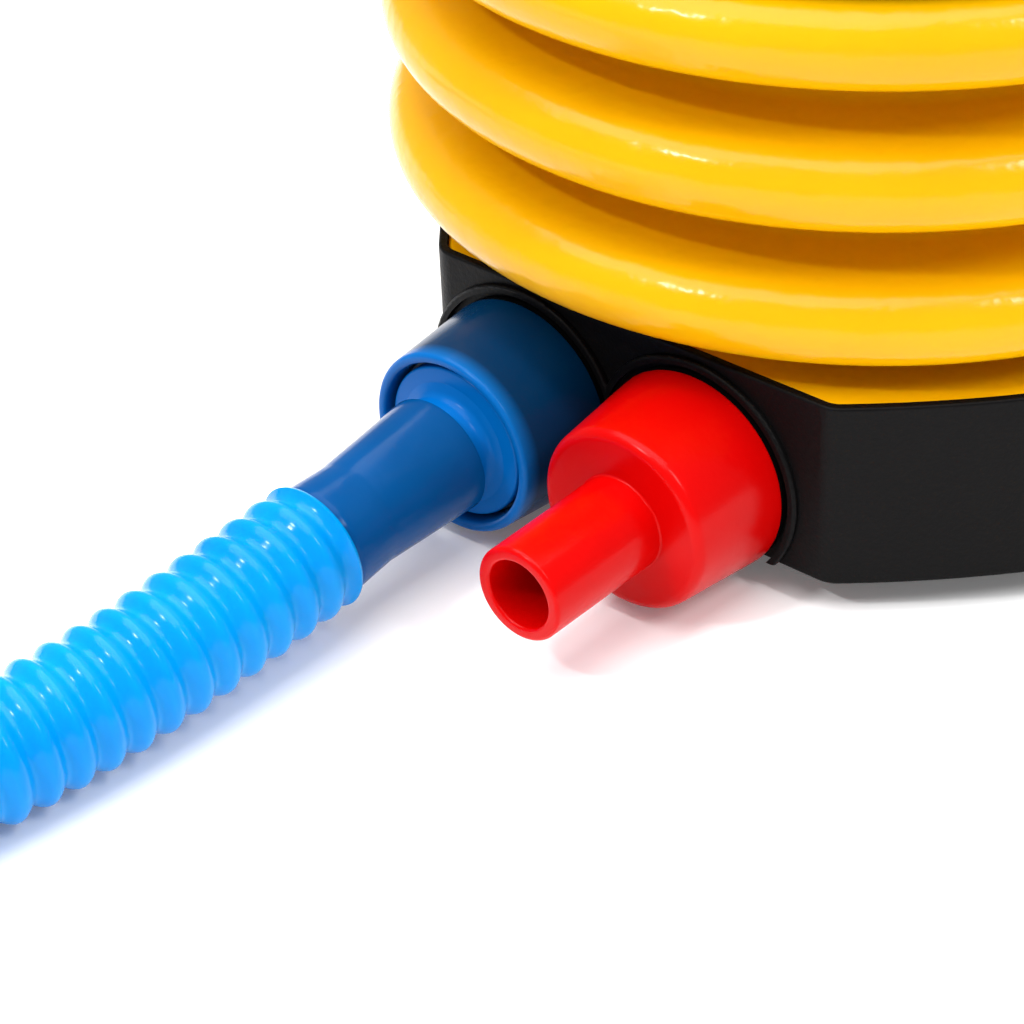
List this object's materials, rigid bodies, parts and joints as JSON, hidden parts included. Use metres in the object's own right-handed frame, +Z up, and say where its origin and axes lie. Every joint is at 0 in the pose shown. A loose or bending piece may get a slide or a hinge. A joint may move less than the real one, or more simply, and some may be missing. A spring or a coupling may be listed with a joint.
{
  "type": "foot bellows ball inflation pump",
  "caption": "Foot bellows pump on a low casing, with an inlet nozzle cap and a hose outlet ending in a ball needle, for inflating balls and small inflatables.",
  "frame": {"origin": "on the floor under the middle of the pump's outline, hose left out", "axes": "+Z up along the bellows axis; -Y the way both ports face; +X towards the inlet port"},
  "size_m": [0.2792, 0.3079, 0.0906],
  "materials": {
    "casing_black": "fine satin texture, moulded",
    "bellows_amber": "blow-moulded soft vinyl, semi-gloss, slightly translucent",
    "cap_red": "soft gloss moulded plastic",
    "cup_blue": "soft gloss moulded plastic",
    "hose_blue": "corrugated vinyl, semi-gloss",
    "nozzle_black": "satin moulded plastic",
    "valve_white": "natural moulded plastic",
    "seal_rubber": "soft rubber",
    "tread_rubber": "ribbed rubber",
    "screw_steel": "zinc plated",
    "spring_steel": "drawn spring wire",
    "needle_plate": "nickel plated"
  },
  "bodies": {
    "base": {"base_case": "casing_black", "base_cover": "casing_black", "cover_gasket": "seal_rubber", "rubber_feet": "seal_rubber", "cover_screws": "screw_steel", "bellows": "bellows_amber", "lower_clamp_ring": "casing_black", "clamp_screws": "screw_steel", "lower_spring_seat": "valve_white", "return_spring": "spring_steel", "inlet_spigot": "casing_black", "outlet_spigot": "casing_black", "inlet_gasket": "seal_rubber", "outlet_gasket": "seal_rubber", "valve_box": "valve_white", "inlet_valve_seat": "valve_white", "outlet_valve_seat": "valve_white"},
    "pedal": {"pedal_plate": "casing_black", "pedal_screws": "screw_steel", "tread_pad": "tread_rubber", "upper_clamp_ring": "casing_black", "upper_spring_seat": "valve_white"},
    "inlet_flap": {"inlet_valve_flap": "seal_rubber"},
    "outlet_flap": {"outlet_valve_flap": "seal_rubber"},
    "red_cap": {"inlet_cap": "cap_red"},
    "blue_cup": {"outlet_cup": "cup_blue"},
    "hose_set": {"hose_plug": "cup_blue", "plug_seal": "seal_rubber", "hose_cuff": "cup_blue", "hose": "hose_blue", "end_cuff": "cup_blue", "inflation_nozzle": "nozzle_black"},
    "needle": {"ball_needle": "needle_plate"}
  },
  "joints": [
    {"name": "pedal_press", "type": "slide", "parent": "base", "child": "pedal", "axis": [0, 0, -1], "range_m": [0, 0.034], "stiffness_N_per_m": 1500, "springref_m": -0.004, "deforming": ["bellows", "return_spring"]},
    {"name": "inlet_flap_lift", "type": "slide", "parent": "base", "child": "inlet_flap", "axis": [0, 1, 0], "range_m": [0, 0.0015], "stiffness_N_per_m": 40, "springref_m": -0.0005},
    {"name": "outlet_flap_lift", "type": "slide", "parent": "base", "child": "outlet_flap", "axis": [0, -1, 0], "range_m": [0, 0.0015], "stiffness_N_per_m": 40, "springref_m": -0.0005},
    {"name": "red_cap_pull", "type": "slide", "parent": "base", "child": "red_cap", "axis": [0, -1, 0], "range_m": [0, 0.014]},
    {"name": "blue_cup_pull", "type": "slide", "parent": "base", "child": "blue_cup", "axis": [0, -1, 0], "range_m": [0, 0.012]},
    {"name": "hose_pull", "type": "slide", "parent": "blue_cup", "child": "hose_set", "axis": [0, -1, 0], "range_m": [0, 0.01]},
    {"name": "needle_pull", "type": "slide", "parent": "hose_set", "child": "needle", "axis": [0, 1, 0], "range_m": [0, 0.012]}
  ]
}
